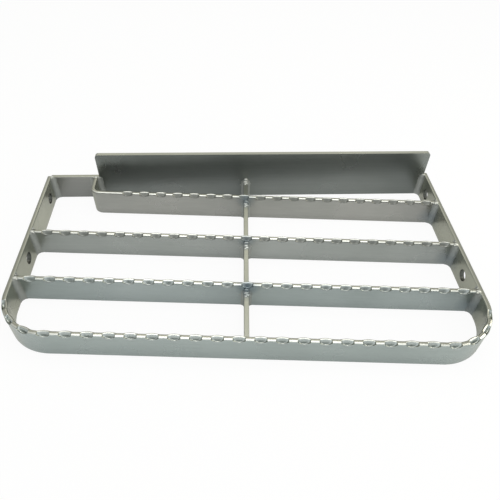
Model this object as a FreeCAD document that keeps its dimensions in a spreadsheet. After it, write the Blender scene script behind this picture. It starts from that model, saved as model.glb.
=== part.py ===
"""Welded steel stair tread.

A flat bar bent into a U makes the front and both sides. Three dimpled tread bars and a taller back plate
cross it, a short bar closes the rear left corner, and a centre tie on edge joins the rows. The front and
the tread bars stand a few degrees off square to the side bars. Frame: +X right, +Y to the back plate, +Z up,
with the origin on the ground at the middle of the tread's box.
"""
import FreeCAD, Part
import math
import os
import Sketcher

# Driving dimensions, in millimetres and degrees
SIZES = {
    "overall_width": 600,  # across the outside of the side bars
    "bar_height": 40,
    "bar_thickness": 6,
    "row_skew": 3.7,  # front bar and tread bars, off square to the side bars
    "corner_radius": 64,  # outside of the front corners
    "front_bay": 82,  # front faces at mid-width, front bar to front tread bar
    "middle_bay": 84,
    "rear_bay": 88,
    "plate_bay": 53,  # rear tread bar to back plate, front faces at mid-width
    "plate_height": 80,
    "plate_thickness": 6,
    "plate_corner": 5,  # rounding of the plate's upper corners
    "plate_left": 79.5,  # from the outside of the left side bar to the plate's end
    "side_lap": 3,  # side bars run past the plate's front face by this much
    "return_setback": 2,  # from the plate's end to the rear tread bar's turned end
    "return_radius": 14,  # outside of the rear tread bar's bend
    "tie_height": 30,
    "tie_thickness": 6,
    "tie_offset": 2,  # right of mid-width, at the middle tread bar
    "tie_skew": 2.2,
    "hole_diameter": 16,
    "hole_height": 20,
    "hole_setback": 27,  # rear holes, in front of the back plate
    "left_hole_spacing": 125,
    "right_hole_spacing": 171,
    "dimple_pitch": 25,
    "bulge_length": 24,  # six-sided dimple outlines at the top edge: tip to tip, width, flat side
    "bulge_width": 8.8,
    "bulge_flat": 6.5,
    "bulge_depth": 6,
    "bulge_foot": 0.66,  # each outline's foot, as a share of its rim
    "cup_length": 15,
    "cup_width": 8.8,
    "cup_flat": 5,
    "cup_depth": 4.5,
    "cup_foot": 0.36,
    "cup_ahead": 1.8,  # its middle lies in front of the bar's, so its front lip is low
    "dimple_margin": 14,  # least distance from a dimple's middle to a bar's end
    "nose_shift": 11.6,  # of one dimple from mid-width, along its bar
    "front_shift": -0.3,
    "middle_shift": 2.2,
    "rear_shift": 2.4,
    "rear_plain": 55,  # undimpled stretch at the rear tread bar's bend
    "weld_leg": 7,
    "tie_weld_leg": 4,
    "weld_hollow": 2.5,  # radius of a bead's face over its leg
}

# Places worked out from the driving dimensions; a bulge is proudest where the cup's edge meets its shoulder
SIN = "sin(Sizes.row_skew)"
COS = "cos(Sizes.row_skew)"
TAN = "tan(Sizes.row_skew)"
TIE_TAN = "tan(Sizes.tie_skew)"
OUTER_X = "(Sizes.overall_width / 2)"
INNER_X = "(Sizes.overall_width / 2 - Sizes.bar_thickness)"
ROW_DEPTH = f"(Sizes.bar_thickness / {COS})"
FRONT_Y = "Sizes.front_bay"
MIDDLE_Y = "(Sizes.front_bay + Sizes.middle_bay)"
REAR_Y = "(Sizes.front_bay + Sizes.middle_bay + Sizes.rear_bay)"
PLATE_Y = "(Sizes.front_bay + Sizes.middle_bay + Sizes.rear_bay + Sizes.plate_bay)"
PLATE_REAR_Y = f"({PLATE_Y} + Sizes.plate_thickness)"
SIDE_END_Y = f"({PLATE_Y} + Sizes.side_lap)"
PLATE_LEFT_X = f"(Sizes.plate_left - {OUTER_X})"
RETURN_INNER_X = f"({PLATE_LEFT_X} - Sizes.return_setback)"
RETURN_OUTER_X = f"({RETURN_INNER_X} - Sizes.bar_thickness)"
CORNER_X = f"({OUTER_X} - Sizes.corner_radius)"
CUP_RUN = "(Sizes.cup_width / (Sizes.cup_length - Sizes.cup_flat))"
CUP_TAPER = "((1 - Sizes.cup_foot) / Sizes.cup_depth)"
BULGE_TAPER = "((1 - Sizes.bulge_foot) / Sizes.bulge_depth)"
CUP_REACH = f"({CUP_RUN} * (Sizes.cup_length - Sizes.bulge_flat) / 2)"
EDGE_GAP = f"({CUP_REACH} + Sizes.cup_ahead - Sizes.bulge_width / 2)"
EDGE_RATE = (f"({CUP_RUN} * Sizes.cup_length * {CUP_TAPER}"
             f" - ({CUP_RUN} * Sizes.bulge_flat + Sizes.bulge_width) * {BULGE_TAPER})")
EDGE_DROP = f"(2 * {EDGE_GAP} / {EDGE_RATE})"
BULGE_PROUD = f"(Sizes.bulge_width / 2 * (1 - {BULGE_TAPER} * {EDGE_DROP}) - Sizes.bar_thickness / 2)"
FOREMOST_Y = f"(Sizes.corner_radius / {COS} - {CORNER_X} * {TAN} - Sizes.corner_radius - {BULGE_PROUD})"
CENTRE_Y = f"(({PLATE_REAR_Y} + {FOREMOST_Y}) / 2)"
HALF_TIE = "(Sizes.tie_thickness / 2 / cos(Sizes.tie_skew))"

doc = FreeCAD.newDocument("stair_tread")
sheet = doc.addObject("Spreadsheet::Sheet", "Sizes")
for row, (alias, number) in enumerate(SIZES.items(), start=1):
    sheet.set(f"A{row}", alias)
    sheet.set(f"B{row}", str(number))
    sheet.setAlias(f"B{row}", alias)
doc.recompute()

nodes = []


def bind(thing, rules):
    """Ties properties of a document object to expressions."""
    for name, rule in rules.items():
        thing.setExpression(name, rule)


def new_body(label, y_rule="0", turn_rule="0", x_rule="0"):
    """Body placed in the tread's frame, from a place measured from the front bar at mid-width."""
    body = doc.addObject("PartDesign::Body", label)
    body.Label = label
    body.Placement = FreeCAD.Placement(FreeCAD.Vector(), FreeCAD.Rotation(FreeCAD.Vector(0, 0, 1), 1))
    bind(body, {"Placement.Base.x": x_rule, "Placement.Base.y": f"{y_rule} - {CENTRE_Y}",
                "Placement.Rotation.Angle": turn_rule})
    return body


def new_sketch(body, name, role):
    """Empty sketch on one of the body's own origin planes."""
    sketch = body.newObject("Sketcher::SketchObject", name)
    plane = next(item for item in body.Origin.OriginFeatures if item.Role == role)
    sketch.AttachmentSupport = [(plane, "")]
    sketch.MapMode = "FlatFace"
    return sketch


def pin(sketch, geometry, vertex, x_rule, y_rule):
    """Holds one point of a sketch at a place given by two expressions."""
    start = sketch.getPoint(geometry, vertex)
    for kind, number, rule in (("DistanceX", start.x, x_rule), ("DistanceY", start.y, y_rule)):
        index = sketch.addConstraint(Sketcher.Constraint(kind, -1, 1, geometry, vertex, number))
        sketch.setExpression(f"Constraints[{index}]", rule)


def outline(sketch, corners):
    """Closed run of straight lines through corners given as pairs of expressions."""
    count = len(corners)
    turns = [2 * math.pi * index / count for index in range(count)]
    starts = [FreeCAD.Vector(math.cos(turn), math.sin(turn), 0) for turn in turns]
    for index in range(count):
        sketch.addGeometry(Part.LineSegment(starts[index], starts[(index + 1) % count]), False)
    for index in range(count):
        sketch.addConstraint(Sketcher.Constraint("Coincident", index, 2, (index + 1) % count, 1))
    for index, (x_rule, y_rule) in enumerate(corners):
        pin(sketch, index, 1, x_rule, y_rule)


def pad_outline(body, name, corners, height_rule):
    """Prism that stands on the ground over an outline."""
    sketch = new_sketch(body, f"{name}_plan", "XY_Plane")
    outline(sketch, corners)
    pad = body.newObject("PartDesign::Pad", f"{name}_prism")
    pad.Profile = sketch
    pad.setExpression("Length", height_rule)
    doc.recompute()
    return pad


def fillet_edges(body, name, base, chosen, radius_rule):
    """Rounds those edges of the base feature for which chosen(edge) is true."""
    names = [f"Edge{index}" for index, edge in enumerate(base.Shape.Edges, start=1) if chosen(edge)]
    fillet = body.newObject("PartDesign::Fillet", name)
    fillet.Base = (base, names)
    fillet.setExpression("Radius", radius_rule)
    doc.recompute()
    return fillet


def is_upright(edge):
    low, high = edge.Vertexes[0].Point, edge.Vertexes[-1].Point
    return math.hypot(low.x - high.x, low.y - high.y) < 1e-6 and abs(low.z - high.z) > 1e-6


def eye_sketch(body, name, part, share_rule, place_rules):
    """Level eye-shaped outline, six-sided, as a share of the outline at the top edge."""
    ahead = "Sizes.cup_ahead" if part == "cup" else "0"
    tip = f"{share_rule} * Sizes.{part}_length / 2"
    shoulder = f"{share_rule} * Sizes.{part}_flat / 2"
    rise = f"{share_rule} * Sizes.{part}_width / 2"
    sketch = new_sketch(body, name, "XY_Plane")
    level = FreeCAD.Rotation(FreeCAD.Vector(0, 0, 1), 1)
    sketch.AttachmentOffset = FreeCAD.Placement(FreeCAD.Vector(), level)
    bind(sketch, place_rules)
    front, rear = f"-{rise} - {ahead}", f"{rise} - {ahead}"
    outline(sketch, [(f"-{tip}", f"-{ahead}"), (f"-{shoulder}", front), (shoulder, front),
                     (tip, f"-{ahead}"), (shoulder, rear), (f"-{shoulder}", rear)])
    return sketch


def dimple(body, name, x_rule, y_rule, turn_rule="0"):
    """Pressed dimple: metal flared out to both sides of the bar, and a cup in its top edge, open in front."""
    def add_loft(kind, part):
        place = {"AttachmentOffset.Base.x": x_rule, "AttachmentOffset.Base.y": y_rule,
                 "AttachmentOffset.Base.z": "Sizes.bar_height", "AttachmentOffset.Rotation.Angle": turn_rule}
        rim = eye_sketch(body, f"{name}_{part}_rim", part, "1", place)
        place["AttachmentOffset.Base.z"] = f"Sizes.bar_height - Sizes.{part}_depth"
        foot = eye_sketch(body, f"{name}_{part}_foot", part, f"Sizes.{part}_foot", place)
        loft = body.newObject(f"PartDesign::{kind}", f"{name}_{part}")
        loft.Profile = rim
        loft.Sections = [foot]
        loft.Ruled = True
        return loft, rim

    bulge, rim = add_loft("AdditiveLoft", "bulge")
    cup, _ = add_loft("SubtractiveLoft", "cup")
    return [bulge, cup], rim


def dimple_line(body, name, first_rules, count_rule, turn_rule="0"):
    """Straight run of dimples along a bar, from the leftmost one."""
    originals, sketch = dimple(body, name, *first_rules, turn_rule)
    pattern = body.newObject("PartDesign::LinearPattern", f"{name}_run")
    pattern.Originals = originals
    pattern.Direction = (sketch, ["H_Axis"])
    pattern.Mode = "Spacing"
    bind(pattern, {"Offset": "Sizes.dimple_pitch", "Occurrences": count_rule})
    body.Tip = pattern
    doc.recompute()


def dimple_corner(body, name, side, spare_rule):
    """Dimples round a front corner; side is -1 at the left and 1 at the right.

    spare_rule is the length of straight bar between the last dimple and the corner.
    """
    reach = "(Sizes.corner_radius - Sizes.bar_thickness / 2)"
    step = f"(Sizes.dimple_pitch / {reach} * 180 / pi)"
    first = f"((Sizes.dimple_pitch - {spare_rule}) / {reach} * 180 / pi)"
    bend = f"(90 + {side} * Sizes.row_skew)"
    centre_x = f"({side} * {CORNER_X})"
    centre_y = f"(Sizes.corner_radius / {COS} - {side} * {CORNER_X} * {TAN})"
    outward = f"(270 - Sizes.row_skew + {side} * {first})"
    originals, _ = dimple(body, name, f"{centre_x} + {reach} * cos({outward})",
                          f"{centre_y} + {reach} * sin({outward})", f"-Sizes.row_skew + {side} * {first}")
    pivot = new_sketch(body, f"{name}_pivot", "XY_Plane")
    pivot.addGeometry(Part.Point(FreeCAD.Vector()), True)
    bind(pivot, {"AttachmentOffset.Base.x": centre_x, "AttachmentOffset.Base.y": centre_y})
    pattern = body.newObject("PartDesign::PolarPattern", f"{name}_run")
    pattern.Originals = originals
    pattern.Axis = (pivot, ["N_Axis"])
    pattern.Mode = "Spacing"
    pattern.Reversed = side < 0
    bind(pattern, {"Offset": step, "Occurrences": f"floor(({bend} - {first}) / {step}) + 1"})
    body.Tip = pattern
    doc.recompute()


def side_holes(body, name, spacing_alias, to_right):
    """Two bolt holes through one side bar."""
    sketch = new_sketch(body, f"{name}_marks", "YZ_Plane")
    rear = f"{PLATE_Y} - Sizes.hole_setback"
    for offset, y_rule in enumerate((rear, f"{rear} - Sizes.{spacing_alias}")):
        start = FreeCAD.Vector(offset * 3 * SIZES["hole_diameter"], 0, 0)
        circle = Part.Circle(start, FreeCAD.Vector(0, 0, 1), SIZES["hole_diameter"] / 2)
        index = sketch.addGeometry(circle, False)
        pin(sketch, index, 3, y_rule, "Sizes.hole_height")
        diameter = sketch.addConstraint(Sketcher.Constraint("Diameter", index, SIZES["hole_diameter"]))
        sketch.setExpression(f"Constraints[{diameter}]", "Sizes.hole_diameter")
    before = body.Shape.Volume
    pocket = body.newObject("PartDesign::Pocket", name)
    pocket.Profile = sketch
    pocket.Type = "ThroughAll"
    pocket.Reversed = to_right
    doc.recompute()
    if body.Shape.Volume >= before:
        raise RuntimeError(f"{name} cut nothing")


def build_outer_frame():
    """Front bar and both side bars, bent from one flat bar, with the nose dimples and bolt holes."""
    body = new_body("outer_frame")
    corners = [
        (f"-{OUTER_X}", SIDE_END_Y),
        (f"-{OUTER_X}", f"{OUTER_X} * {TAN}"),
        (OUTER_X, f"-{OUTER_X} * {TAN}"),
        (OUTER_X, SIDE_END_Y),
        (INNER_X, SIDE_END_Y),
        (INNER_X, f"{ROW_DEPTH} - {INNER_X} * {TAN}"),
        (f"-{INNER_X}", f"{ROW_DEPTH} + {INNER_X} * {TAN}"),
        (f"-{INNER_X}", SIDE_END_Y),
    ]
    pad = pad_outline(body, "frame", corners, "Sizes.bar_height")
    half_depth = pad.Shape.BoundBox.Center.y
    outer_x = SIZES["overall_width"] / 2
    inner_x = outer_x - SIZES["bar_thickness"]

    def at_corner(edge, reach):
        point = edge.Vertexes[0].Point
        return is_upright(edge) and point.y < half_depth and abs(abs(point.x) - reach) < 1e-6

    outer = fillet_edges(body, "frame_outer_bends", pad, lambda edge: at_corner(edge, outer_x),
                         "Sizes.corner_radius")
    fillet_edges(body, "frame_inner_bends", outer, lambda edge: at_corner(edge, inner_x),
                 "Sizes.corner_radius - Sizes.bar_thickness")
    side_holes(body, "left_holes", "left_hole_spacing", False)
    side_holes(body, "right_holes", "right_hole_spacing", True)
    left_end = f"({CORNER_X} / {COS} + Sizes.corner_radius * {TAN})"
    right_end = f"({CORNER_X} / {COS} - Sizes.corner_radius * {TAN})"
    left_count = f"floor((Sizes.nose_shift + {left_end}) / Sizes.dimple_pitch)"
    right_count = f"floor(({right_end} - Sizes.nose_shift) / Sizes.dimple_pitch)"
    first = f"(Sizes.nose_shift - Sizes.dimple_pitch * {left_count})"
    last = f"(Sizes.nose_shift + Sizes.dimple_pitch * {right_count})"
    middle = "(Sizes.bar_thickness / 2)"
    place = (f"{first} * {COS} + {middle} * {SIN}", f"{middle} * {COS} - {first} * {SIN}")
    dimple_line(body, "nose", place, f"{left_count} + {right_count} + 1", "-Sizes.row_skew")
    dimple_corner(body, "nose_left", -1, f"({first} + {left_end})")
    dimple_corner(body, "nose_right", 1, f"({right_end} - {last})")
    return body


def row_end(side, depth_rule):
    """Place along a row, at a depth behind its front face, where it meets a side bar's inner face."""
    return f"({side} * {INNER_X} - {depth_rule} * {SIN}) / {COS}"


def build_tread_bar(label, y_rule, shift_alias):
    """Straight tread bar between the side bars, dimpled from end to end."""
    body = new_body(label, y_rule, "-Sizes.row_skew")
    thick = "Sizes.bar_thickness"
    corners = [(row_end(-1, "0"), "0"), (row_end(1, "0"), "0"),
               (row_end(1, thick), thick), (row_end(-1, thick), thick)]
    pad_outline(body, label, corners, "Sizes.bar_height")
    room = f"({INNER_X} / {COS} - Sizes.dimple_margin)"
    left_count = f"floor(({room} + Sizes.{shift_alias}) / Sizes.dimple_pitch)"
    right_count = f"floor(({room} - Sizes.{shift_alias}) / Sizes.dimple_pitch)"
    first = f"Sizes.{shift_alias} - Sizes.dimple_pitch * {left_count}"
    dimple_line(body, label, (first, "Sizes.bar_thickness / 2"), f"{left_count} + {right_count} + 1")
    return body


def build_rear_bar():
    """Rear tread bar: its left end is bent back to the rear line, and stays plain near the bend."""
    label = "rear_tread_bar"
    body = new_body(label, REAR_Y, "-Sizes.row_skew")
    thick = "Sizes.bar_thickness"

    def turned(x_rule):
        """Point of the turned end on the back plate's line, along and behind the row."""
        return (f"{x_rule} * {COS} - Sizes.plate_bay * {SIN}", f"{x_rule} * {SIN} + Sizes.plate_bay * {COS}")

    corners = [
        (f"{RETURN_OUTER_X} / {COS}", "0"),
        (row_end(1, "0"), "0"),
        (row_end(1, thick), thick),
        (f"({RETURN_INNER_X} - {thick} * {SIN}) / {COS}", thick),
        turned(RETURN_INNER_X),
        turned(RETURN_OUTER_X),
    ]
    pad = pad_outline(body, label, corners, "Sizes.bar_height")
    left_x = min(vertex.X for vertex in pad.Shape.Vertexes)
    front_y = pad.Shape.BoundBox.YMin

    def at_bend(edge, depth):
        point = edge.Vertexes[0].Point
        near_left = point.x - left_x < 4 * SIZES["bar_thickness"]
        return is_upright(edge) and near_left and abs(point.y - front_y - depth) < SIZES["bar_thickness"] / 2

    outer = fillet_edges(body, "rear_outer_bend", pad, lambda edge: at_bend(edge, 0), "Sizes.return_radius")
    fillet_edges(body, "rear_inner_bend", outer, lambda edge: at_bend(edge, SIZES["bar_thickness"]),
                 "Sizes.return_radius - Sizes.bar_thickness")
    room = f"({INNER_X} / {COS} - Sizes.dimple_margin)"
    plain_end = f"({RETURN_OUTER_X} / {COS} + Sizes.rear_plain)"
    left_count = f"floor((Sizes.rear_shift - {plain_end}) / Sizes.dimple_pitch)"
    right_count = f"floor(({room} - Sizes.rear_shift) / Sizes.dimple_pitch)"
    first = f"Sizes.rear_shift - Sizes.dimple_pitch * {left_count}"
    dimple_line(body, label, (first, "Sizes.bar_thickness / 2"), f"{left_count} + {right_count} + 1")
    return body


def build_rear_line():
    """Back plate with rounded upper corners, and the low bar that carries on its line to the left."""
    plate = new_body("back_plate")
    corners = [(PLATE_LEFT_X, PLATE_Y), (INNER_X, PLATE_Y),
               (INNER_X, PLATE_REAR_Y), (PLATE_LEFT_X, PLATE_REAR_Y)]
    pad = pad_outline(plate, "plate", corners, "Sizes.plate_height")
    top = pad.Shape.BoundBox.ZMax

    def is_upper_end(edge):
        one, two = edge.Vertexes[0].Point, edge.Vertexes[-1].Point
        return abs(one.z - top) < 1e-6 and abs(two.z - top) < 1e-6 and abs(one.x - two.x) < 1e-6

    fillet_edges(plate, "plate_corners", pad, is_upper_end, "Sizes.plate_corner")
    low = new_body("corner_bar")
    corners = [(f"-{INNER_X}", PLATE_Y), (PLATE_LEFT_X, PLATE_Y),
               (PLATE_LEFT_X, PLATE_REAR_Y), (f"-{INNER_X}", PLATE_REAR_Y)]
    pad_outline(low, "corner_bar", corners, "Sizes.bar_height")
    return [plate, low]


def tie_corner(side, face_rule, skewed=True):
    """Point where one side of the tie meets a face that crosses mid-width at face_rule."""
    slope = TAN if skewed else "0"
    straight = f"Sizes.tie_offset + {side} * {HALF_TIE} + ({face_rule} - {MIDDLE_Y}) * {TIE_TAN}"
    x_rule = f"(({straight}) / (1 + {slope} * {TIE_TAN}))"
    return x_rule, f"({face_rule} - {x_rule} * {slope})"


def build_ties():
    """Centre tie: short bars on edge, one in each bay."""
    bays = [
        ("front_tie", ROW_DEPTH, FRONT_Y, True),
        ("middle_tie", f"({FRONT_Y} + {ROW_DEPTH})", MIDDLE_Y, True),
        ("rear_tie", f"({MIDDLE_Y} + {ROW_DEPTH})", REAR_Y, True),
        ("plate_tie", f"({REAR_Y} + {ROW_DEPTH})", PLATE_Y, False),
    ]
    bodies = []
    for label, near, far, far_skewed in bays:
        body = new_body(label)
        corners = [tie_corner(-1, near), tie_corner(1, near),
                   tie_corner(1, far, far_skewed), tie_corner(-1, far, far_skewed)]
        pad_outline(body, label, corners, "Sizes.tie_height")
        bodies.append(body)
    return bodies


def bead(name, corner, turn_rule, opening_rule, leg_rule, height_rule):
    """Fillet weld that fills a corner: one leg along turn_rule, the other opening_rule further round."""
    body = new_body(name, corner[1], turn_rule, corner[0])
    sketch = new_sketch(body, f"{name}_section", "XY_Plane")
    leg = SIZES["weld_leg"]
    chord_middle, radius = leg / 2, leg * SIZES["weld_hollow"]
    dip = (radius - math.sqrt(radius**2 - leg**2 / 2)) / math.sqrt(2)
    root = FreeCAD.Vector()
    one, two = FreeCAD.Vector(leg, 0, 0), FreeCAD.Vector(0, leg, 0)
    hollow = FreeCAD.Vector(chord_middle - dip, chord_middle - dip, 0)
    first = sketch.addGeometry(Part.LineSegment(root, one), False)
    face = sketch.addGeometry(Part.Arc(two, hollow, one), False)
    second = sketch.addGeometry(Part.LineSegment(two, root), False)
    start, end = (1, 2) if sketch.getPoint(face, 1).distanceToPoint(two) < leg / 2 else (2, 1)
    sketch.addConstraint(Sketcher.Constraint("Coincident", first, 2, face, end))
    sketch.addConstraint(Sketcher.Constraint("Coincident", face, start, second, 1))
    sketch.addConstraint(Sketcher.Constraint("Coincident", second, 2, first, 1))
    pin(sketch, first, 1, "0", "0")
    pin(sketch, first, 2, leg_rule, "0")
    pin(sketch, second, 1, f"{leg_rule} * cos({opening_rule})", f"{leg_rule} * sin({opening_rule})")
    index = sketch.addConstraint(Sketcher.Constraint("Radius", face, radius))
    sketch.setExpression(f"Constraints[{index}]", f"{leg_rule} * Sizes.weld_hollow")
    pad = body.newObject("PartDesign::Pad", f"{name}_run")
    pad.Profile = sketch
    pad.setExpression("Length", height_rule)
    return body


def weld(label, beads):
    """One joint's beads as one node of separate solids."""
    group = doc.addObject("Part::Compound", label)
    group.Label = label
    group.Links = beads
    return group


def side_point(side, face_rule):
    """Point on a side bar's inner face where a row's face, at face_rule at mid-width, meets it."""
    return f"({side} * {INNER_X})", f"({face_rule} - {side} * {INNER_X} * {TAN})"


def build_row_welds(label, face_rule, sides):
    """Beads in front of and behind a tread bar's ends."""
    behind = f"({face_rule} + {ROW_DEPTH})"
    narrow, wide = "90 - Sizes.row_skew", "90 + Sizes.row_skew"
    leg, height = "Sizes.weld_leg", "Sizes.bar_height"
    welds = []
    if "left" in sides:
        front = bead(f"{label}_left_a", side_point(-1, face_rule), "-90", narrow, leg, height)
        rear = bead(f"{label}_left_b", side_point(-1, behind), "-Sizes.row_skew", wide, leg, height)
        welds.append(weld(f"{label}_left", [front, rear]))
    if "right" in sides:
        front = bead(f"{label}_right_a", side_point(1, face_rule), "180 - Sizes.row_skew", wide, leg, height)
        rear = bead(f"{label}_right_b", side_point(1, behind), "90", narrow, leg, height)
        welds.append(weld(f"{label}_right", [front, rear]))
    return welds


def build_rear_welds():
    """Beads of the plate, the corner bar and the rear tread bar's turned end."""
    leg, height, step = "Sizes.weld_leg", "Sizes.bar_height", "(Sizes.plate_thickness - Sizes.side_lap)"
    plate = [
        bead("weld_plate_right_a", (INNER_X, PLATE_Y), "180", "90", leg, height),
        bead("weld_plate_right_b", (INNER_X, SIDE_END_Y), "0", "90", step, height),
    ]
    corner = [
        bead("weld_corner_bar_a", (f"-{INNER_X}", PLATE_Y), "-90", "90", leg, height),
        bead("weld_corner_bar_b", (f"-{INNER_X}", SIDE_END_Y), "90", "90", step, height),
    ]
    turned = [
        bead("weld_return_a", (RETURN_OUTER_X, PLATE_Y), "180", "90", leg, height),
        bead("weld_return_b", (RETURN_INNER_X, PLATE_Y), "-90", "90", leg, height),
    ]
    return [weld("weld_plate_right", plate), weld("weld_corner_bar", corner), weld("weld_return", turned)]


def build_tie_welds():
    """Beads up both sides of the tie at every face that it meets."""
    joints = [
        ("weld_tie_nose", None, ROW_DEPTH),
        ("weld_tie_front", FRONT_Y, f"({FRONT_Y} + {ROW_DEPTH})"),
        ("weld_tie_middle", MIDDLE_Y, f"({MIDDLE_Y} + {ROW_DEPTH})"),
        ("weld_tie_rear", REAR_Y, f"({REAR_Y} + {ROW_DEPTH})"),
        ("weld_tie_plate", PLATE_Y, None),
    ]
    leg, height = "Sizes.tie_weld_leg", "Sizes.tie_height"
    welds = []
    for label, front, behind in joints:
        skewed = front != PLATE_Y
        skew = "Sizes.row_skew" if skewed else "0"
        lean = f"({skew} - Sizes.tie_skew)"
        beads = []
        if front:
            left, right = tie_corner(-1, front, skewed), tie_corner(1, front, skewed)
            beads.append(bead(f"{label}_a", left, f"180 - {skew}", f"90 + {lean}", leg, height))
            beads.append(bead(f"{label}_b", right, "-90 - Sizes.tie_skew", f"90 - {lean}", leg, height))
        if behind:
            left, right = tie_corner(-1, behind), tie_corner(1, behind)
            beads.append(bead(f"{label}_c", left, "90 - Sizes.tie_skew", f"90 - {lean}", leg, height))
            beads.append(bead(f"{label}_d", right, f"-{skew}", f"90 + {lean}", leg, height))
        welds.append(weld(label, beads))
    return welds


nodes.append(build_outer_frame())
nodes.append(build_tread_bar("front_tread_bar", FRONT_Y, "front_shift"))
nodes.append(build_tread_bar("middle_tread_bar", MIDDLE_Y, "middle_shift"))
nodes.append(build_rear_bar())
nodes += build_rear_line()
nodes += build_ties()
nodes += build_row_welds("weld_front_bar", FRONT_Y, ("left", "right"))
nodes += build_row_welds("weld_middle_bar", MIDDLE_Y, ("left", "right"))
nodes += build_row_welds("weld_rear_bar", REAR_Y, ("right",))
nodes += build_rear_welds()
nodes += build_tie_welds()
doc.recompute()

for item in doc.Objects:
    if "Invalid" in item.State or "Error" in item.State:
        raise RuntimeError(f"{item.Label} failed: {item.State}")
for node in nodes:
    if node.Shape.isNull() or not node.Shape.isValid():
        raise RuntimeError(f"{node.Label} has no sound shape")

os.makedirs("parts", exist_ok=True)
for node in nodes:
    node.Shape.exportStep(f"parts/{node.Label}.step")
    print(node.Label, len(node.Shape.Solids), round(node.Shape.Volume))
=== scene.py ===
"""Looks of the welded steel stair tread: smooth pressed dimples, rippled weld beads and satin steel with
painted light and shade.
"""
import bisect
import bpy
import math
from mathutils import Matrix, Vector


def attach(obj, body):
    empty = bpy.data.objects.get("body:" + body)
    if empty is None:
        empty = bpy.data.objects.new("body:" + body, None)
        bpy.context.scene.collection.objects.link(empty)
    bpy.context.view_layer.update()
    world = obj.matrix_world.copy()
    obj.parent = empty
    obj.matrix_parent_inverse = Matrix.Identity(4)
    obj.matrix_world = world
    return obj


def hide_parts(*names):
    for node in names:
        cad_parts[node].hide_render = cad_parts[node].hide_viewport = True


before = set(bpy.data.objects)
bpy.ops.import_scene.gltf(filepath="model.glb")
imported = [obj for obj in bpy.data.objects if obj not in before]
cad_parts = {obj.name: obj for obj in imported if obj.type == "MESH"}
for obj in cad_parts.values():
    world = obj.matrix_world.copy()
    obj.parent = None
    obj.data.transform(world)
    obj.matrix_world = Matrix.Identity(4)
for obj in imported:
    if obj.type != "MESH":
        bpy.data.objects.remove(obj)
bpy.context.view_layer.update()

# Sizes of the part, in millimetres and degrees
WIDTH, HEIGHT, THICK = 600, 40, 6
SKEW = math.radians(3.7)
SIN, COS, TAN = math.sin(SKEW), math.cos(SKEW), math.tan(SKEW)
ROW_DEPTH = THICK / COS
OUTER_X, INNER_X = WIDTH / 2, WIDTH / 2 - THICK
CORNER_R = 64
FRONT_Y, MIDDLE_Y, REAR_Y, PLATE_Y = 82, 166, 254, 307
PLATE_DEPTH, SIDE_LAP = 6, 3
RETURN_INNER_X = -222.5
RETURN_R = 14
TIE_HEIGHT, TIE_THICK, TIE_OFFSET = 30, 6, 2
TIE_SKEW = math.radians(2.2)
CORNER_X = OUTER_X - CORNER_R
BULGE_PROUD = 0.8609
FOREMOST_Y = CORNER_R / COS - CORNER_X * TAN - CORNER_R - BULGE_PROUD
CENTRE_Y = (PLATE_Y + PLATE_DEPTH + FOREMOST_Y) / 2
PITCH = 25
DIMPLE_MARGIN = 14
REAR_PLAIN = 55
DIMPLE_SHIFT = {"outer_frame": 11.6, "front_tread_bar": -0.3, "middle_tread_bar": 2.2,
                "rear_tread_bar": 2.4}
HOLE_R, HOLE_Z, HOLE_SETBACK = 8, 20, 27
HOLE_SPACING = {-1: 125, 1: 171}
ROW_LEG, TIE_LEG, STEP_LEG = 7, 4, 0.9 * (PLATE_DEPTH - SIDE_LAP)
SQUARE = math.pi / 2
CREASE = math.radians(48)

# Places coloured by the welder's heat: where, how far it spreads, and how strong
HOT_SPOTS = [((0, FRONT_Y - 2, 37), 18, 0.85), ((2, MIDDLE_Y - 2, 37), 15, 0.6),
             ((5, REAR_Y - 2, 35), 17, 0.6)]
HOT_SPOTS += [((INNER_X - 5, y - INNER_X * TAN - 2, 14), 22, 0.5) for y in (FRONT_Y, MIDDLE_Y, REAR_Y)]
HEAT_BLUE = (0.09, 0.14, 0.185, 1)
# Painted shade inside the bolt holes, and how far past a hole's edge it stays full and then fades, in
# millimetres
HOLE_PAINTED_SHADE = (0.055, 0.055, 0.045, 1)
HOLE_SHADE_MARGIN, HOLE_SHADE_FADE = 0.2, 0.4
PAINTED_REAR_SHADE = (0.4, 0.38, 0.33, 1)     # painted shade on the rounded rear edges of the tops
PAINTED_HIGHLIGHT = (0.84, 0.84, 0.78, 1)     # painted highlight on the front facets of the top edges
HOLE_SQUEEZE = 0.04     # lets the painted shade of a hole reach through its bar, and not to the other bar

# Half lengths of a dimple's cup and bulge, the powers of their fall to the ends, and where its sections lie
CUP_HALF, BULGE_HALF = 7.6, 8.6
CUP_FALL, BULGE_FALL = 0.6, 1.3
NEAR_DIMPLE = (0, 1.5, 3.0, 4.3, 5.4, 6.3, 6.9, 7.3, 7.5, 7.6, 8.6, 10.3)

# Sections elsewhere: near a bar's ends, round bends, and on plain stretches, clear of all others
NEAR_END = (0.5, 1.5, 4, 8)
BEND_STEP, LEAST_BEND_STEPS = 3, 6
PLAIN_STEP, PLAIN_CLEAR = 12, 3
LEAST_GAP = 0.05
END_SLOPE_REACH = 10

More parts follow.
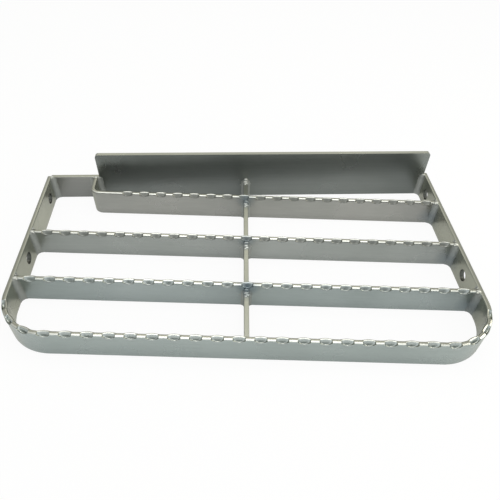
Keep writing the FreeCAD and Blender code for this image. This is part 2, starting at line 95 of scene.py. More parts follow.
# Section of a bar over its upper part, from the front face over the top edge to the rear face. Each item is
# a point on a plain stretch, then the same point through the middle of a dimple: a scoop with a high rear rim
# and a low lip. The first FRONT_POINTS and the last REAR_POINTS belong to the bulge, the others to the cup.
UPPER = (
    (-3.0, 28.5, -3.0, 28.5), (-3.0, 30.5, -3.0, 30.5), (-3.0, 32.2, -3.2, 31.9),
    (-3.0, 33.8, -3.45, 33.1), (-3.0, 35.4, -3.7, 34.2), (-3.0, 37.0, -3.8, 35.1),
    (-3.0, 38.2, -3.78, 35.7), (-2.93, 38.75, -3.6, 36.1), (-2.76, 39.1, -3.3, 36.25),
    (-2.5, 39.32, -3.0, 36.0), (-2.1, 39.46, -2.7, 35.4), (-1.7, 39.59, -2.35, 34.7),
    (-1.35, 39.71, -1.9, 34.25), (-1.0, 39.83, -1.35, 34.3), (-0.7, 39.93, -0.85, 34.75),
    (-0.4, 39.98, -0.45, 35.5), (0.0, 40.0, 0.0, 36.4), (0.4, 40.0, 0.4, 37.3),
    (0.9, 40.0, 0.8, 38.15), (1.3, 40.0, 1.1, 38.8), (1.65, 39.98, 1.45, 39.12),
    (1.95, 39.92, 1.95, 39.34), (2.25, 39.8, 2.5, 39.56), (2.5, 39.64, 3.0, 39.76),
    (2.72, 39.4, 3.4, 39.78), (2.88, 39.1, 3.85, 39.6), (3.0, 38.6, 4.25, 39.1),
    (3.0, 37.8, 4.32, 38.1), (3.0, 36.6, 4.0, 36.8), (3.0, 35.3, 3.55, 35.5),
    (3.0, 34.0, 3.15, 34.2), (3.0, 28.5, 3.0, 28.5),
)
FRONT_POINTS, REAR_POINTS = 9, 9
LOWER = ((3.0, 20), (3.0, 10), (3.0, 0.9), (2.93, 0.56), (2.74, 0.26), (2.44, 0.07), (2.1, 0.0),
         (-2.1, 0.0), (-2.44, 0.07), (-2.74, 0.26), (-2.93, 0.56), (-3.0, 0.9), (-3.0, 10), (-3.0, 20))


def metres(x, y, z):
    """Place in the frame, from millimetres measured from the front bar at mid-width."""
    return (x / 1000, (y - CENTRE_Y) / 1000, z / 1000)


def smooth(low, high, value):
    """Soft step from 0 at low to 1 at high."""
    share = min(1.0, max(0.0, (value - low) / (high - low)))
    return share * share * (3 - 2 * share)


def soften(mesh):
    """Smooth shading, with creases where faces meet at a steep angle."""
    mesh.polygons.foreach_set("use_smooth", [True] * len(mesh.polygons))
    mesh.set_sharp_from_angle(angle=CREASE)


def new_piece(name, points, faces, nodes):
    """Mesh piece that rides on the part and stands for its nodes."""
    mesh = bpy.data.meshes.new(name)
    mesh.from_pydata([metres(*point) for point in points], [], faces)
    soften(mesh)
    piece = bpy.data.objects.new(name, mesh)
    bpy.context.scene.collection.objects.link(piece)
    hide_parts(*nodes)
    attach(piece, "root")
    return piece


# Bars swept along their middle lines

def line_run(start, end):
    """Straight run: its length, and a function from a distance along it to a point and heading."""
    length = math.dist(start, end)
    heading = ((end[0] - start[0]) / length, (end[1] - start[1]) / length)
    return length, lambda s: ((start[0] + heading[0] * s, start[1] + heading[1] * s), heading)


def arc_run(centre, radius, first, sweep):
    """Arc run from the angle first, anticlockwise for a positive sweep, in radians."""
    sign = math.copysign(1, sweep)

    def place(s):
        turn = first + sign * s / radius
        point = (centre[0] + radius * math.cos(turn), centre[1] + radius * math.sin(turn))
        return point, (-sign * math.sin(turn), sign * math.cos(turn))
    return radius * abs(sweep), place


def along(runs, s):
    """Point and heading at a distance along joined runs."""
    for index, (length, place) in enumerate(runs):
        if s <= length or index == len(runs) - 1:
            return place(s)
        s -= length


def stations(total, dimples, bends):
    """Distances of the sections: close at dimples and bends, wide on plain stretches."""
    marks = {0.0, total}
    for step in NEAR_END:
        marks |= {step, total - step}
    near = [middle + side * offset for middle in dimples for offset in NEAR_DIMPLE for side in (-1, 1)]
    marks |= {round(s, 3) for s in near if 0 < s < total}
    for start, end in bends:
        count = max(LEAST_BEND_STEPS, int((end - start) / BEND_STEP))
        marks |= {round(start + (end - start) * i / count, 3) for i in range(count + 1)}
    count = int(total / PLAIN_STEP)
    marked = sorted(marks)
    for s in (total * i / count for i in range(1, count)):
        place = bisect.bisect(marked, s)
        if marked[place] - s > PLAIN_CLEAR and s - marked[place - 1] > PLAIN_CLEAR:
            marks.add(round(s, 3))
    ordered = sorted(marks)
    return [s for index, s in enumerate(ordered) if index == 0 or s - ordered[index - 1] > LEAST_GAP]


def section(offset):
    """Closed outline across a bar at a distance from the nearest dimple's middle."""
    cup = max(0.0, 1 - (offset / CUP_HALF) ** 2) ** CUP_FALL
    bulge = max(0.0, 1 - (offset / BULGE_HALF) ** 2) ** BULGE_FALL
    upper = []
    for index, (v, z, scoop_v, scoop_z) in enumerate(UPPER):
        behind = index >= len(UPPER) - REAR_POINTS
        across = bulge if behind or index < FRONT_POINTS else cup
        height = bulge if behind else cup
        upper.append((v + (scoop_v - v) * across, z + (scoop_z - z) * height))
    return upper + list(LOWER)


def sweep_bar(name, runs, dimples, node, shear_start=0.0, shear_end=0.0):
    """Bar on edge along the runs. The shears slope its two ends, as tangents of the slope's angle."""
    total = sum(length for length, _ in runs)
    bends, reached = [], 0.0
    for length, place in runs:
        if place(0)[1] != place(length)[1]:
            bends.append((reached, reached + length))
        reached += length
    points, faces = [], []
    places = stations(total, dimples, bends)
    ring = len(UPPER) + len(LOWER)
    for s in places:
        slope = shear_start * (1 - smooth(0, END_SLOPE_REACH, s))
        slope += shear_end * smooth(total - END_SLOPE_REACH, total, s)
        (x, y), (ahead_x, ahead_y) = along(runs, s)
        for v, z in section(min(abs(s - middle) for middle in dimples)):
            slip = -v * slope
            points.append((x - ahead_y * v + ahead_x * slip, y + ahead_x * v + ahead_y * slip, z))
    for row in range(len(places) - 1):
        for item in range(ring):
            other = (item + 1) % ring
            one, two = row * ring, (row + 1) * ring
            faces.append((one + item, two + item, two + other, one + other))
    faces.append(tuple(range(ring)))
    faces.append(tuple((len(places) - 1) * ring + item for item in range(ring - 1, -1, -1)))
    return new_piece(name, points, faces, (node,))


def row_dimples(shift, left_limit, right_limit):
    """Distances along a row, from mid-width, of dimples between two limits."""
    first = math.ceil((left_limit - shift) / PITCH)
    last = math.floor((right_limit - shift) / PITCH)
    return [shift + PITCH * index for index in range(first, last + 1)]


def row_point(y, s):
    """Point on a row's middle line, at a distance along it from mid-width."""
    return s * COS + THICK / 2 * SIN, y - s * SIN + THICK / 2 * COS


def build_tread_bar(name, y):
    """Bar between the side bars, with its ends cut to their faces."""
    half = INNER_X / COS
    lean = THICK / 2 * TAN
    start, end = -half - lean, half - lean
    runs = [line_run(row_point(y, start), row_point(y, end))]
    found = row_dimples(DIMPLE_SHIFT[name], -half + DIMPLE_MARGIN, half - DIMPLE_MARGIN)
    middles = [s - start for s in found]
    return sweep_bar(name + "_pressed", runs, middles, name, TAN, TAN)


def build_rear_bar():
    """Bar that turns back to the plate at its left end, and has no dimples near the bend."""
    name = "rear_tread_bar"
    x = RETURN_INNER_X - THICK / 2
    radius = RETURN_R - THICK / 2
    half = INNER_X / COS
    lean = THICK / 2 * TAN
    row_y = REAR_Y + THICK / 2 / COS
    centre = (x + radius, row_y - (x + radius) * TAN + radius / COS)
    arc_end = (centre[0] - radius * SIN, centre[1] - radius * COS)
    runs = [line_run((x, PLATE_Y), (x, centre[1])),
            arc_run(centre, radius, math.pi, SQUARE - SKEW),
            line_run(arc_end, row_point(REAR_Y, half - lean))]
    before = runs[0][0] + runs[1][0]
    start = (arc_end[0] - THICK / 2 * SIN) / COS
    plain = (RETURN_INNER_X - THICK) / COS + REAR_PLAIN
    found = row_dimples(DIMPLE_SHIFT[name], plain, half - DIMPLE_MARGIN)
    middles = [before + s - start for s in found]
    return sweep_bar(name + "_pressed", runs, middles, name, 0.0, TAN)


def build_outer_frame():
    """Left side bar, nose and right side bar in one, with dimples on the nose and round both corners."""
    name = "outer_frame"
    side_x = OUTER_X - THICK / 2
    radius = CORNER_R - THICK / 2
    left = (-CORNER_X, CORNER_R / COS + CORNER_X * TAN)
    right = (CORNER_X, CORNER_R / COS - CORNER_X * TAN)
    end_y = PLATE_Y + SIDE_LAP
    left_end = (left[0] - radius * SIN, left[1] - radius * COS)
    right_end = (right[0] - radius * SIN, right[1] - radius * COS)
    runs = [line_run((-side_x, end_y), (-side_x, left[1])),
            arc_run(left, radius, math.pi, SQUARE - SKEW),
            line_run(left_end, right_end),
            arc_run(right, radius, 3 * SQUARE - SKEW, SQUARE + SKEW),
            line_run((side_x, right[1]), (side_x, end_y))]
    before = runs[0][0] + runs[1][0]
    start = (left_end[0] - THICK / 2 * SIN) / COS
    straight = [before + s - start for s in row_dimples(DIMPLE_SHIFT[name], start, start + runs[2][0])]
    first = int((straight[0] - runs[0][0]) / PITCH)
    last = int((before + runs[2][0] + runs[3][0] - straight[-1]) / PITCH)
    middles = [straight[0] - PITCH * i for i in range(first, 0, -1)] + straight
    middles += [straight[-1] + PITCH * i for i in range(1, last + 1)]
    piece = sweep_bar(name + "_pressed", runs, middles, name)
    drill(piece)
    return piece


def hole_places():
    """Side and place along the side bar of each bolt hole."""
    rear = PLATE_Y - HOLE_SETBACK
    return [(side, y) for side, spacing in HOLE_SPACING.items() for y in (rear, rear - spacing)]


def drill(piece):
    """Bolt holes through both side bars."""
    count, past = 48, 5
    points, faces = [], []
    for side, y in hole_places():
        base = len(points)
        for x in (side * (INNER_X - past), side * (OUTER_X + past)):
            for i in range(count):
                turn = 2 * math.pi * i / count
                points.append((x, y + HOLE_R * math.cos(turn), HOLE_Z + HOLE_R * math.sin(turn)))
        sides = [(base + i, base + (i + 1) % count, base + count + (i + 1) % count, base + count + i)
                 for i in range(count)]
        caps = [tuple(base + i for i in range(count - 1, -1, -1)),
                tuple(base + count + i for i in range(count))]
        ordered = sides + caps
        faces += ordered if side > 0 else [face[::-1] for face in ordered]
    mesh = bpy.data.meshes.new("drills")
    mesh.from_pydata([metres(*point) for point in points], [], faces)
    cutter = bpy.data.objects.new("drills", mesh)
    bpy.context.scene.collection.objects.link(cutter)
    cut = piece.modifiers.new("holes", "BOOLEAN")
    cut.object = cutter
    cut.operation = "DIFFERENCE"
    cut.solver = "EXACT"
    bpy.context.view_layer.update()
    drilled = bpy.data.meshes.new_from_object(piece.evaluated_get(bpy.context.evaluated_depsgraph_get()))
    piece.modifiers.clear()
    soften(drilled)
    piece.data = drilled
    bpy.data.objects.remove(cutter)


# Weld beads in the corners. A ripple or swell is its size, its rate, and its share of the seed.
BEAD_RIPPLES = ((0.03, 2.3, 1), (0.05, 0.55, 2))
BEAD_STEP, BEAD_ACROSS = 1.3, 8
BEAD_CAP, BEAD_DRAWN_IN = 3, 0.35
LUMP_SWELLS = ((0.09, 2, 1), (0.07, 5, 3))
LUMP_ROUNDS, LUMP_SLICES = 10, 20
SEED_BY_NAME, SEED_BY_BEAD, SEED_BY_DROP = 1.7, 2.3, 1.9

# Drops on the end of a row, from the middle of its top edge at the side bar: place, inward first, and radii
ROW_DROPS = (((1.4, -1.2, -0.3), (3.2, 3.6, 1.6)), ((3.4, -2.6, -0.9), (2.4, 2.2, 1.3)))
# Drops of the puddle on a tie's end, from the middle of that end's top edge: place and radii
TIE_PUDDLE = (((0.0, -0.5, 1.6), (4.2, 3.0, 3.2)), ((-0.6, -4.0, 0.4), (3.8, 3.6, 2.0)),
              ((0.8, -6.6, 0.1), (3.2, 3.4, 1.5)), ((-1.4, -8.6, -0.2), (2.4, 2.6, 1.2)))
# Drops of spatter on the face beside it: across, up, and size
SPATTER = ((-8.6, -8.5, 0.8), (-6.4, -3.0, 0.55), (7.6, -5.5, 0.6), (-11.0, 1.5, 0.45))


def bead(corner, turn, opening, leg, height, seed):
    """Fillet bead up a corner: points and faces, hollow across and slightly rippled, drawn in at the top."""
    points, faces = [], []
    levels, across = int(height / BEAD_STEP), BEAD_ACROSS
    for level in range(levels + 1):
        z = height * level / levels
        ripple = 1 + sum(size * math.sin(z * rate + share * seed) for size, rate, share in BEAD_RIPPLES)
        reach = leg * ripple * (1 - BEAD_DRAWN_IN * smooth(height - BEAD_CAP, height, z) ** 2)
        points.append((0.0, 0.0, z))
        for item in range(across + 1):
            angle = SQUARE * item / across
            one, two = reach * (1 - math.sin(angle)), reach * (1 - math.cos(angle))
            points.append((one + two * math.cos(opening), two * math.sin(opening), z))
    ring = across + 2
    for level in range(levels):
        for item in range(ring):
            other = (item + 1) % ring
            one, two = level * ring, (level + 1) * ring
            faces.append((one + item, one + other, two + other, two + item))
    faces.append(tuple(range(ring - 1, -1, -1)))
    faces.append(tuple(levels * ring + item for item in range(ring)))
    cos, sin = math.cos(turn), math.sin(turn)
    placed = [(corner[0] + x * cos - y * sin, corner[1] + x * sin + y * cos, z) for x, y, z in points]
    return placed, faces


def lump(centre, radii, seed):
    """Uneven drop of weld metal: points and faces."""
    rounds, slices = LUMP_ROUNDS, LUMP_SLICES
    points = [(centre[0], centre[1], centre[2] - radii[2])]
    for level in range(1, rounds):
        tilt = math.pi * level / rounds
        for item in range(slices):
            turn = 2 * math.pi * item / slices
            swells = (size * math.sin(rate * turn + share * seed) for size, rate, share in LUMP_SWELLS)
            swell = 1 + math.sin(tilt) * sum(swells)
            points.append((centre[0] + radii[0] * swell * math.sin(tilt) * math.cos(turn),
                           centre[1] + radii[1] * swell * math.sin(tilt) * math.sin(turn),
                           centre[2] - radii[2] * math.cos(tilt)))
    points.append((centre[0], centre[1], centre[2] + radii[2]))
    faces, top = [], len(points) - 1
    for item in range(slices):
        other = (item + 1) % slices
        faces.append((0, 1 + other, 1 + item))
        for level in range(rounds - 2):
            one, two = 1 + level * slices, 1 + (level + 1) * slices
            faces.append((one + item, one + other, two + other, two + item))
        last = 1 + (rounds - 2) * slices
        faces.append((last + item, last + other, top))
    return points, faces


def weld(node, beads, drops):
    """One joint's beads, and the drops on top of it, as one piece."""
    seed = len(node) * SEED_BY_NAME
    shapes = [bead(*item, seed=seed + index * SEED_BY_BEAD) for index, item in enumerate(beads)]
    shapes += [lump(*item, seed=seed + index * SEED_BY_DROP) for index, item in enumerate(drops)]
    points, faces = [], []
    for more_points, more_faces in shapes:
        base = len(points)
        points += more_points
        faces += [tuple(base + corner for corner in face) for face in more_faces]
    return new_piece(node + "_bead", points, faces, (node,))


def build_row_weld(node, y, side):
    """Weld of one end of a tread bar to a side bar."""
    x = side * INNER_X
    front, behind = (x, y - x * TAN), (x, y + ROW_DEPTH - x * TAN)
    middle = y + ROW_DEPTH / 2 - x * TAN
    drops = [((x - side * inward, middle + rearward, HEIGHT + up), radii)
             for (inward, rearward, up), radii in ROW_DROPS]
    narrow, wide = SQUARE - SKEW, SQUARE + SKEW
    if side < 0:
        corners = ((front, -SQUARE, narrow), (behind, -SKEW, wide))
    else:
        corners = ((front, math.pi - SKEW, wide), (behind, SQUARE, narrow))
    return weld(node, [(*corner, ROW_LEG, HEIGHT) for corner in corners], drops)


def build_rear_welds():
    """Welds of the plate, the corner bar and the turned end. The first two also fill a step at a side bar."""
    end_y, outer = PLATE_Y + SIDE_LAP, RETURN_INNER_X - THICK
    drop_z = HEIGHT - 0.4
    joints = {
        "weld_plate_right": (((INNER_X, PLATE_Y), math.pi, ROW_LEG), ((INNER_X, end_y), 0, STEP_LEG),
                             ((INNER_X - 1.2, PLATE_Y - 1.2, drop_z), (3, 2.6, 1.4))),
        "weld_corner_bar": (((-INNER_X, PLATE_Y), -SQUARE, ROW_LEG), ((-INNER_X, end_y), SQUARE, STEP_LEG),
                            ((-INNER_X + 0.8, PLATE_Y + 1.5, drop_z), (2.6, 3, 1.2))),
        "weld_return": (((outer, PLATE_Y), math.pi, ROW_LEG), ((RETURN_INNER_X, PLATE_Y), -SQUARE, ROW_LEG),
                        ((outer + THICK / 2, PLATE_Y - 0.5, drop_z), (3.4, 2.4, 1.4))),
    }
    return [weld(node, [(corner, turn, SQUARE, leg, HEIGHT) for corner, turn, leg in corners], [drop])
            for node, (*corners, drop) in joints.items()]


def tie_corner(side, y, skewed=True):
    """Point where one side of the tie meets a face that crosses mid-width at y."""
    slope, lean = (TAN if skewed else 0.0), math.tan(TIE_SKEW)
    straight = TIE_OFFSET + side * TIE_THICK / 2 / math.cos(TIE_SKEW) + (y - MIDDLE_Y) * lean
    x = straight / (1 + slope * lean)
    return x, y - x * slope


def build_tie_weld(node, front, behind):
    """Weld of the tie to the front face and the rear face of one bar. None is a face without a tie."""
    skewed = front != PLATE_Y
    skew = SKEW if skewed else 0.0
    lean = skew - TIE_SKEW
    corners, drops = [], []
    if front is not None:
        one, two = tie_corner(-1, front, skewed), tie_corner(1, front, skewed)
        corners += [(one, math.pi - skew, SQUARE + lean), (two, -SQUARE - TIE_SKEW, SQUARE - lean)]
        end_x, end_y = (one[0] + two[0]) / 2, (one[1] + two[1]) / 2
        drops = [((end_x + x, end_y + y, TIE_HEIGHT + z), radii) for (x, y, z), radii in TIE_PUDDLE]
        drops += [((end_x + x, end_y - x * math.tan(skew), TIE_HEIGHT + z), (size, size, size))
                  for x, z, size in SPATTER]
    if behind is not None:
        one, two = tie_corner(-1, behind), tie_corner(1, behind)
        corners += [(one, SQUARE - TIE_SKEW, SQUARE - lean), (two, -skew, SQUARE + lean)]
    return weld(node, [(*corner, TIE_LEG, TIE_HEIGHT) for corner in corners], drops)


# Materials. A pattern is its scale, its stretch and its detail.
CLOUD, GRAIN, PITS = (9, (1, 1, 1), 4), (60, (0.12, 6, 6), 3), (900, (1, 1, 1), 2)
CLOUD_TINT, GRAIN_TINT = (0.78, 0.8, 0.79, 1), (0.84, 0.85, 0.85, 1)
SMOOTHER, ROUGHER = 0.05, 0.09
METALLIC = 0.9
BUMP_STRENGTH, BUMP_DISTANCE = 0.16, 0.0004
# Ranges of a normal's part along one axis, over which the painted light and shade of such faces comes in
SIDE_LIGHT_X = (0.45, 0.95)
TOP_LIGHT_Z = (0.6, 0.98)
HIGHLIGHT_Y, HIGHLIGHT_Z = (-0.12, -0.22), (0.85, 0.92)
WALL_LIGHT_Y, WALL_LIGHT_Z = (-0.3, -0.45), (0.2, 0.4)
REAR_SHADE_Y, REAR_SHADE_Z = (0.16, 0.42), (0.1, 0.3)


def steel(name, colour, rough, top_painted_light, side_painted_light=(0.41, 0.415, 0.345), shade_in_holes=False, hollow=None):
    """Satin mill steel: cloudy tone, drawn grain, small pits, and painted reflections on its level and side
    faces.

    It is blue where it was heated, the front facets of its top edges carry a painted highlight and its
    rounded rear edges painted shade.
    It can paint shade inside the bolt holes. hollow is the painted light and shade of the dimples' rear
    walls.
    """
    material = bpy.data.materials.new(name)
    material.use_nodes = True
    tree = material.node_tree
    nodes, links = tree.nodes, tree.links
    shader = nodes["Principled BSDF"]
    shader.inputs["Metallic"].default_value = METALLIC
    where = nodes.new("ShaderNodeTexCoord")

    def noise(scale, stretch, detail):
        mapping = nodes.new("ShaderNodeMapping")
        mapping.inputs["Scale"].default_value = stretch
        links.new(where.outputs["Object"], mapping.inputs["Vector"])
        texture = nodes.new("ShaderNodeTexNoise")
        texture.inputs["Scale"].default_value = scale
        texture.inputs["Detail"].default_value = detail
        links.new(mapping.outputs["Vector"], texture.inputs["Vector"])
        return texture.outputs["Fac"]

    def ramp(value, low, high, low_out=0.0, high_out=1.0):
        item = nodes.new("ShaderNodeMapRange")
        for socket, number in zip(item.inputs[1:5], (low, high, low_out, high_out)):
            socket.default_value = number
        links.new(value, item.inputs["Value"])
        return item.outputs["Result"]

    def mix(blend, share, one, two):
        item = nodes.new("ShaderNodeMix")
        item.data_type = "RGBA"
        item.blend_type = blend
        for key, value in (("Factor", share), ("A", one), ("B", two)):
            if isinstance(value, (int, float, tuple)):
                item.inputs[key].default_value = value
            else:
                links.new(value, item.inputs[key])
        return item.outputs["Result"]

    def calculate(operation, *values):
        item = nodes.new("ShaderNodeMath")
        item.operation = operation
        for socket, value in zip(item.inputs, values):
            links.new(value, socket)
        return item.outputs["Value"]

    def distance(vector, place):
        item = nodes.new("ShaderNodeVectorMath")
        item.operation = "DISTANCE"
        item.inputs[1].default_value = metres(*place)
        links.new(vector, item.inputs[0])
        return item.outputs["Value"]

    cloud, grain, pits = noise(*CLOUD), noise(*GRAIN), noise(*PITS)
    geometry = nodes.new("ShaderNodeNewGeometry")
    split = nodes.new("ShaderNodeSeparateXYZ")
    links.new(geometry.outputs["Normal"], split.inputs["Vector"])
    across, rearward, upward = (split.outputs[axis] for axis in "XYZ")
    # Painted warm reflection on faces that look to either side
    base = mix("MIX", ramp(calculate("ABSOLUTE", across), *SIDE_LIGHT_X), (*colour, 1), (*side_painted_light, 1))
    # Painted reflection: faces that look up take the top tone
    base = mix("MIX", ramp(upward, *TOP_LIGHT_Z), base, (*top_painted_light, 1))
    # Painted highlight on faces tilted a little forward from level: the front facets of the top edges
    highlight_mask = calculate("MULTIPLY", ramp(rearward, *HIGHLIGHT_Y), ramp(upward, *HIGHLIGHT_Z))
    base = mix("MIX", highlight_mask, base, PAINTED_HIGHLIGHT)
    # Painted light and shade on the dimples' rear walls, which look forward and up
    if hollow:
        wall = calculate("MULTIPLY", ramp(rearward, *WALL_LIGHT_Y), ramp(upward, *WALL_LIGHT_Z))
        base = mix("MIX", wall, base, (*hollow, 1))
    tone = mix("MULTIPLY", ramp(cloud, 0.3, 0.7, high_out=0.55), base, CLOUD_TINT)
    tone = mix("MULTIPLY", ramp(grain, 0.35, 0.75, high_out=0.4), tone, GRAIN_TINT)
    # Painted shade on the rounded rear edges, which face back and up
    rounded = calculate("MULTIPLY", ramp(rearward, *REAR_SHADE_Y), ramp(upward, *REAR_SHADE_Z, high_out=0.8))
    tone = mix("MULTIPLY", rounded, tone, PAINTED_REAR_SHADE)
    for place, reach, force in HOT_SPOTS:
        away = distance(where.outputs["Object"], place)
        tone = mix("MIX", ramp(away, 0.0, reach / 1000, force, 0.0), tone, HEAT_BLUE)
    # Painted shade inside the bolt holes
    if shade_in_holes:
        flat = nodes.new("ShaderNodeVectorMath")
        flat.operation = "MULTIPLY"
        flat.inputs[1].default_value = (HOLE_SQUEEZE, 1, 1)
        links.new(where.outputs["Object"], flat.inputs[0])
        full = (HOLE_R + HOLE_SHADE_MARGIN) / 1000
        gone = full + HOLE_SHADE_FADE / 1000
        for side, y in hole_places():
            x = HOLE_SQUEEZE * side * (INNER_X + OUTER_X) / 2
            away = distance(flat.outputs["Vector"], (x, y, HOLE_Z))
            tone = mix("MIX", ramp(away, full, gone, 0.85, 0.0), tone, HOLE_PAINTED_SHADE)
    links.new(tone, shader.inputs["Base Color"])
    links.new(ramp(cloud, 0.25, 0.75, rough - SMOOTHER, rough + ROUGHER), shader.inputs["Roughness"])
    bump = nodes.new("ShaderNodeBump")
    bump.inputs["Strength"].default_value = BUMP_STRENGTH
    bump.inputs["Distance"].default_value = BUMP_DISTANCE
    links.new(mix("MIX", 0.5, grain, pits), bump.inputs["Height"])
    links.new(bump.outputs["Normal"], shader.inputs["Normal"])
    return material


def dress(piece, material):
    """The material as the only one of a piece."""
    piece.data.materials.clear()
    piece.data.materials.append(material)


# Each steel's top tone and side tone are painted reflections. The bars and frame are one steel: their tones,
# bluer and lighter at the front and more olive and darker towards the rear, are painted light and shade, as
# are the tones of their dimples' rear faces, light at the front and dark at the rear.
BAR_TOP_PAINTED_LIGHT, BAR_ROUGH = (0.44, 0.435, 0.37), 0.26
front_steel = steel("front_bar_steel", (0.395, 0.443, 0.443), BAR_ROUGH, BAR_TOP_PAINTED_LIGHT, hollow=(0.46, 0.5, 0.5))
middle_steel = steel("middle_bar_steel", (0.386, 0.407, 0.396), BAR_ROUGH, BAR_TOP_PAINTED_LIGHT, hollow=(0.3, 0.31, 0.295))
rear_steel = steel("rear_bar_steel", (0.388, 0.39, 0.372), BAR_ROUGH, BAR_TOP_PAINTED_LIGHT, hollow=(0.255, 0.26, 0.243))
tie_steel = steel("tie_steel", (0.36, 0.37, 0.345), 0.3, (0.47, 0.47, 0.4))
frame_steel = steel("frame_steel", (0.395, 0.445, 0.438), BAR_ROUGH, BAR_TOP_PAINTED_LIGHT, shade_in_holes=True,
                    hollow=(0.52, 0.565, 0.56))
plate_steel = steel("plate_steel", (0.24, 0.258, 0.25), 0.28, (0.5, 0.5, 0.43))
corner_steel = steel("corner_steel", (0.31, 0.313, 0.304), 0.3, (0.44, 0.44, 0.37))
weld_metal = steel("weld_metal", (0.43, 0.445, 0.43), 0.5, (0.62, 0.62, 0.58), (0.43, 0.447, 0.43))

dress(build_outer_frame(), frame_steel)
dress(build_tread_bar("front_tread_bar", FRONT_Y), front_steel)
dress(build_tread_bar("middle_tread_bar", MIDDLE_Y), middle_steel)
dress(build_rear_bar(), rear_steel)
for row, y, sides in (("front", FRONT_Y, (-1, 1)), ("middle", MIDDLE_Y, (-1, 1)), ("rear", REAR_Y, (1,))):
    for side in sides:
        dress(build_row_weld(f"weld_{row}_bar_{'left' if side < 0 else 'right'}", y, side), weld_metal)
for piece in build_rear_welds():
    dress(piece, weld_metal)
for node, front, behind in (("weld_tie_nose", None, ROW_DEPTH),
                            ("weld_tie_front", FRONT_Y, FRONT_Y + ROW_DEPTH),
                            ("weld_tie_middle", MIDDLE_Y, MIDDLE_Y + ROW_DEPTH),
                            ("weld_tie_rear", REAR_Y, REAR_Y + ROW_DEPTH), ("weld_tie_plate", PLATE_Y, None)):
    dress(build_tie_weld(node, front, behind), weld_metal)

# Plain bars keep the solids' own meshes, joined along their seams and with slightly rounded edges, in metres
SEAM, EDGE_WIDTH, EDGE_ANGLE = 0.00001, 0.0008, math.radians(40)
plain = {"back_plate": plate_steel, "corner_bar": corner_steel, "front_tie": tie_steel,
         "middle_tie": tie_steel, "rear_tie": tie_steel, "plate_tie": tie_steel}
for name, material in plain.items():
    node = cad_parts[name]
    dress(node, material)
    joined = node.modifiers.new("joined", "WELD")
    joined.merge_threshold = SEAM
    edge = node.modifiers.new("edge", "BEVEL")
    edge.width = EDGE_WIDTH
    edge.segments = 3
    edge.limit_method = "ANGLE"
    edge.angle_limit = EDGE_ANGLE
    edge.harden_normals = True

# Floor, which glows more for the camera so that it stays white, in metres
FLOOR_HALF, FLOOR_DROP = 6, 0.0004
GLOW_SHARE, GLOW_SHARE_SEEN = 0.25, 0.93
scene = bpy.context.scene
floor_mesh = bpy.data.meshes.new("floor")
corners = [(x * FLOOR_HALF, y * FLOOR_HALF, 0) for x, y in ((-1, -1), (1, -1), (1, 1), (-1, 1))]
floor_mesh.from_pydata(corners, [], [(0, 1, 2, 3)])
floor = bpy.data.objects.new("floor", floor_mesh)
scene.collection.objects.link(floor)
floor.location.z = -FLOOR_DROP
pale = bpy.data.materials.new("pale_floor")
pale.use_nodes = True
nodes, links = pale.node_tree.nodes, pale.node_tree.links
nodes.clear()
output = nodes.new("ShaderNodeOutputMaterial")
blend = nodes.new("ShaderNodeMixShader")
matt = nodes.new("ShaderNodeBsdfDiffuse")
matt.inputs["Color"].default_value = (0.9, 0.9, 0.89, 1)
glow = nodes.new("ShaderNodeEmission")
glow.inputs["Strength"].default_value = 1.0
path = nodes.new("ShaderNodeLightPath")
share = nodes.new("ShaderNodeMapRange")
share.inputs["To Min"].default_value = GLOW_SHARE
share.inputs["To Max"].default_value = GLOW_SHARE_SEEN
links.new(path.outputs["Is Camera Ray"], share.inputs["Value"])
links.new(share.outputs["Result"], blend.inputs["Fac"])
links.new(matt.outputs["BSDF"], blend.inputs[1])
links.new(glow.outputs["Emission"], blend.inputs[2])
links.new(blend.outputs["Shader"], output.inputs["Surface"])
floor.data.materials.append(pale)

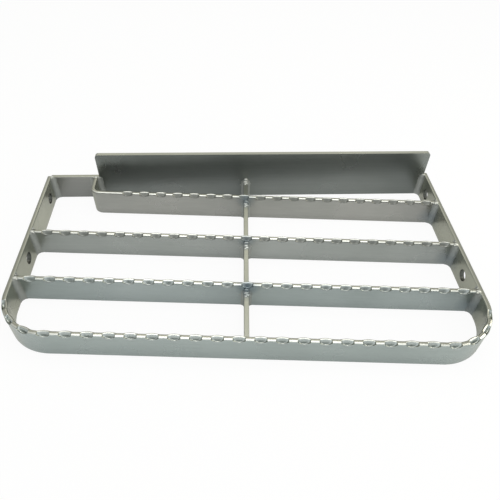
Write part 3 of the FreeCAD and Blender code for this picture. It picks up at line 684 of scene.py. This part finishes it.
# Room light, softboxes and view
ROOM_STRENGTH = 0.6
scene.view_settings.view_transform = "Standard"
world = bpy.data.worlds.new("studio")
scene.world = world
world.use_nodes = True
nodes, links = world.node_tree.nodes, world.node_tree.links
nodes.clear()
output = nodes.new("ShaderNodeOutputWorld")
blend = nodes.new("ShaderNodeMixShader")
room = nodes.new("ShaderNodeBackground")
room.inputs["Color"].default_value = (0.86, 0.88, 0.84, 1)
room.inputs["Strength"].default_value = ROOM_STRENGTH
white = nodes.new("ShaderNodeBackground")
white.inputs["Color"].default_value = (1, 1, 1, 1)
path = nodes.new("ShaderNodeLightPath")
links.new(path.outputs["Is Camera Ray"], blend.inputs["Fac"])
links.new(room.outputs["Background"], blend.inputs[1])
links.new(white.outputs["Background"], blend.inputs[2])
links.new(blend.outputs["Shader"], output.inputs["Surface"])


def softbox(name, place, target, size, power, colour=(1, 1, 1)):
    """Rectangular lamp that faces a target."""
    light = bpy.data.lights.new(name, "AREA")
    light.color = colour
    light.shape = "RECTANGLE"
    light.size, light.size_y = size
    light.energy = power
    lamp = bpy.data.objects.new(name, light)
    lamp.location = place
    lamp.rotation_euler = (Vector(target) - Vector(place)).to_track_quat("-Z", "Y").to_euler()
    scene.collection.objects.link(lamp)


softbox("overhead", (0, 0.08, 1.3), (0, 0.08, 0), (1.4, 0.9), 7)
softbox("right_fill", (1.2, -0.1, 0.7), (0, 0, 0), (0.7, 0.7), 5, (1.0, 0.95, 0.82))
softbox("front_fill", (-0.1, -1.4, 0.72), (0, 0, 0), (2.6, 1.0), 4.8)
softbox("back_fill", (0, 1.3, 1.35), (0, 0, 0), (2.0, 0.8), 3, (1.0, 0.98, 0.88))

# Camera fitted to the photograph, in millimetres and degrees from the front bar at mid-width
PHOTO_PX, SENSOR_MM = 500, 36
FOCAL_PX, PITCH_DEG, YAW_DEG, ROLL_DEG = 491.617, 46.094, 4.369, 2.199
EYE = (-29.014, -314.15, 517.487)
pitch, yaw, roll = (math.radians(value) for value in (PITCH_DEG, YAW_DEG, ROLL_DEG))
forward = Vector((math.sin(yaw) * math.cos(pitch), math.cos(yaw) * math.cos(pitch), -math.sin(pitch)))
right = Vector((math.cos(yaw), -math.sin(yaw), 0))
down = forward.cross(right)
across = math.cos(roll) * right - math.sin(roll) * down
below = math.sin(roll) * right + math.cos(roll) * down
lens = bpy.data.cameras.new("camera")
lens.sensor_width = SENSOR_MM
lens.lens = FOCAL_PX * SENSOR_MM / PHOTO_PX
camera = bpy.data.objects.new("camera", lens)
turned = Matrix((across, -below, -forward)).transposed()
camera.matrix_world = Matrix.Translation(metres(*EYE)) @ turned.to_4x4()
scene.collection.objects.link(camera)
scene.camera = camera
